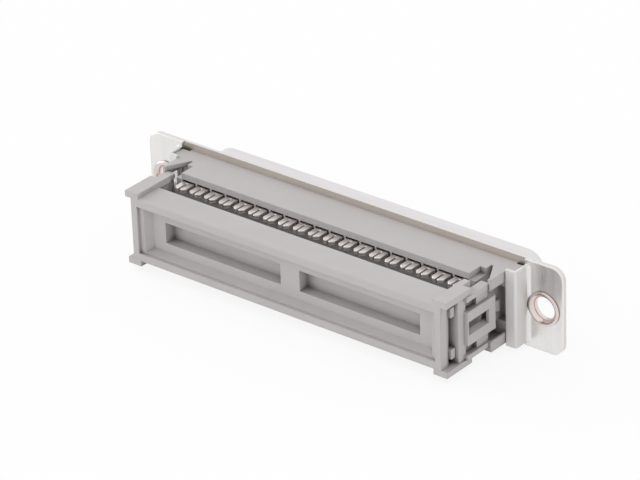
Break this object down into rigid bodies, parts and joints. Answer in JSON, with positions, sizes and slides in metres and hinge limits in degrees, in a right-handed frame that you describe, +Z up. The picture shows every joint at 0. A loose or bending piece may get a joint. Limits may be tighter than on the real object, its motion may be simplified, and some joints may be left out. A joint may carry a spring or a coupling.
{
  "type": "d-sub connector",
  "caption": "Insulation-displacement D-sub socket connector with a D-shaped metal shroud, riveted mounting ears, fork contacts and a press-on cable cap standing open.",
  "frame": {"origin": "midpoint between the two mounting holes, on the rear face of the mounting ears", "axes": "+X along the contact rows, +Y out of the mating side, +Z up, with the wide side of the D up"},
  "size_m": [0.0694, 0.0207, 0.0126],
  "materials": {
    "shell_metal": "satin tin plate",
    "bracket_metal": "bright satin tin plate",
    "eyelet_metal": "polished nickel plate",
    "contact_metal": "matte tin plate",
    "housing_plastic": "moulded satin",
    "cap_plastic": "moulded satin",
    "insulator_plastic": "moulded satin"
  },
  "bodies": {
    "connector": {"front_shell": "shell_metal", "front_insulator": "insulator_plastic", "housing": "housing_plastic", "left_bracket": "bracket_metal", "right_bracket": "bracket_metal", "left_eyelet": "eyelet_metal", "right_eyelet": "eyelet_metal", "contact_01": "contact_metal", "contact_02": "contact_metal", "contact_03": "contact_metal", "contact_04": "contact_metal", "contact_05": "contact_metal", "contact_06": "contact_metal", "contact_07": "contact_metal", "contact_08": "contact_metal", "contact_09": "contact_metal", "contact_10": "contact_metal", "contact_11": "contact_metal", "contact_12": "contact_metal", "contact_13": "contact_metal", "contact_14": "contact_metal", "contact_15": "contact_metal", "contact_16": "contact_metal", "contact_17": "contact_metal", "contact_18": "contact_metal", "contact_19": "contact_metal", "contact_20": "contact_metal", "contact_21": "contact_metal", "contact_22": "contact_metal", "contact_23": "contact_metal", "contact_24": "contact_metal", "contact_25": "contact_metal", "contact_26": "contact_metal", "contact_27": "contact_metal", "contact_28": "contact_metal", "contact_29": "contact_metal", "contact_30": "contact_metal", "contact_31": "contact_metal", "contact_32": "contact_metal", "contact_33": "contact_metal", "contact_34": "contact_metal", "contact_35": "contact_metal", "contact_36": "contact_metal", "contact_37": "contact_metal"},
    "cable_cap": {"cap": "cap_plastic"}
  },
  "joints": [
    {"name": "cap_press", "type": "slide", "parent": "connector", "child": "cable_cap", "axis": [0, 1, 0], "range_m": [0, 0.0032]}
  ]
}
